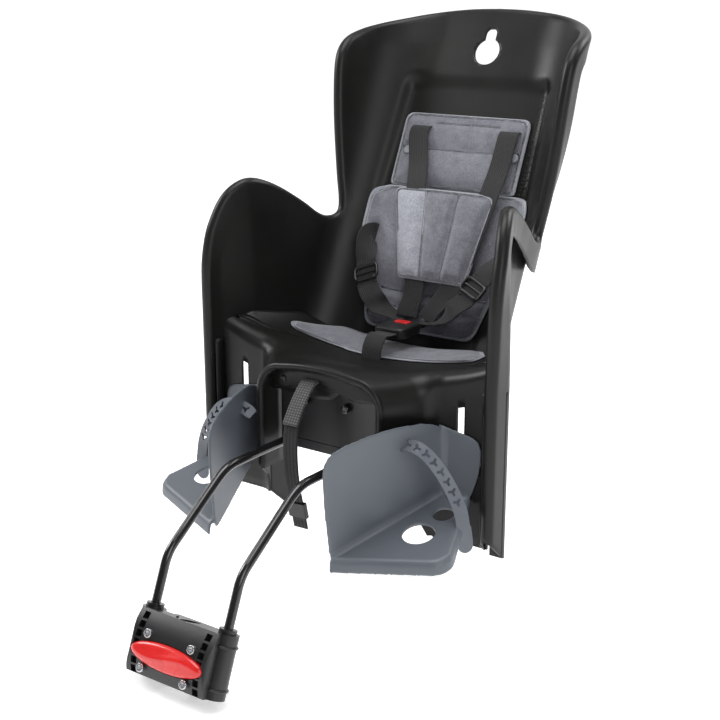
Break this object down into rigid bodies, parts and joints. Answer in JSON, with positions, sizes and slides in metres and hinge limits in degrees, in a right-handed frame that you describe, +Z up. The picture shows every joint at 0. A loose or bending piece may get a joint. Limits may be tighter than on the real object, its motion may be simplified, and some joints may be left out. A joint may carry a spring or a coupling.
{
  "type": "child bike seat",
  "caption": "Rear child bike seat: tall moulded bucket with padding and harness, sliding footrests, and a bent support bar held by a seat-tube clamp block.",
  "frame": {"origin": "centre of the seat-tube clamp in the mounting block", "axes": "+Z up in use, the child faces -Y (forwards on the bike), +X to the child's left; the plane X = 0 is the symmetry plane of the shell"},
  "size_m": [0.454, 0.7377, 0.7253],
  "materials": {
    "shell_black": "satin moulded polypropylene",
    "pad_grey": "short fleece",
    "webbing_black": "woven webbing",
    "trim_black": "satin",
    "footrest_grey": "satin moulded",
    "strap_grey": "soft moulded strap",
    "bar_black": "gloss powder coat",
    "bolt_steel": "zinc plated",
    "button_red": "gloss",
    "stud_grey": "satin"
  },
  "bodies": {
    "seat": {"seat_shell": "shell_black", "upper_back_pad": "pad_grey", "lower_back_pad": "pad_grey", "seat_pad": "pad_grey", "chest_pad": "pad_grey", "pad_studs": "stud_grey", "shoulder_strap_left": "webbing_black", "shoulder_strap_right": "webbing_black", "hip_strap_left": "webbing_black", "hip_strap_right": "webbing_black", "hip_adjuster_left": "trim_black", "hip_adjuster_right": "trim_black", "strap_anchors": "trim_black", "crotch_strap": "webbing_black", "buckle_body": "trim_black", "buckle_tongues": "trim_black", "block_front": "trim_black", "block_rear": "trim_black", "block_bolts": "bolt_steel", "block_nuts": "bolt_steel", "support_bar": "bar_black", "carrier_body": "trim_black", "clamp_plate": "bar_black", "carrier_bolts": "bolt_steel", "carrier_nuts": "bolt_steel", "safety_strap_upper": "webbing_black", "safety_strap_lower": "webbing_black", "safety_strap_buckle": "trim_black"},
    "footrest_right": {"footrest_right": "footrest_grey", "foot_strap_right": "strap_grey"},
    "footrest_left": {"footrest_left": "footrest_grey", "foot_strap_left": "strap_grey"},
    "harness_button": {"buckle_button": "button_red"},
    "block_button": {"release_button": "button_red"}
  },
  "joints": [
    {"name": "footrest_right_height", "type": "slide", "parent": "seat", "child": "footrest_right", "axis": [0, 0, 1], "range_m": [-0.02, 0.035]},
    {"name": "footrest_left_height", "type": "slide", "parent": "seat", "child": "footrest_left", "axis": [0, 0, 1], "range_m": [-0.02, 0.035]},
    {"name": "harness_button_press", "type": "slide", "parent": "seat", "child": "harness_button", "axis": [0, 0, -1], "range_m": [0, 0.0025], "stiffness_N_per_m": 1200, "springref_m": -0.002},
    {"name": "block_button_press", "type": "slide", "parent": "seat", "child": "block_button", "axis": [0, 0.9208, -0.3899], "range_m": [0, 0.004], "stiffness_N_per_m": 2500, "springref_m": -0.003}
  ]
}
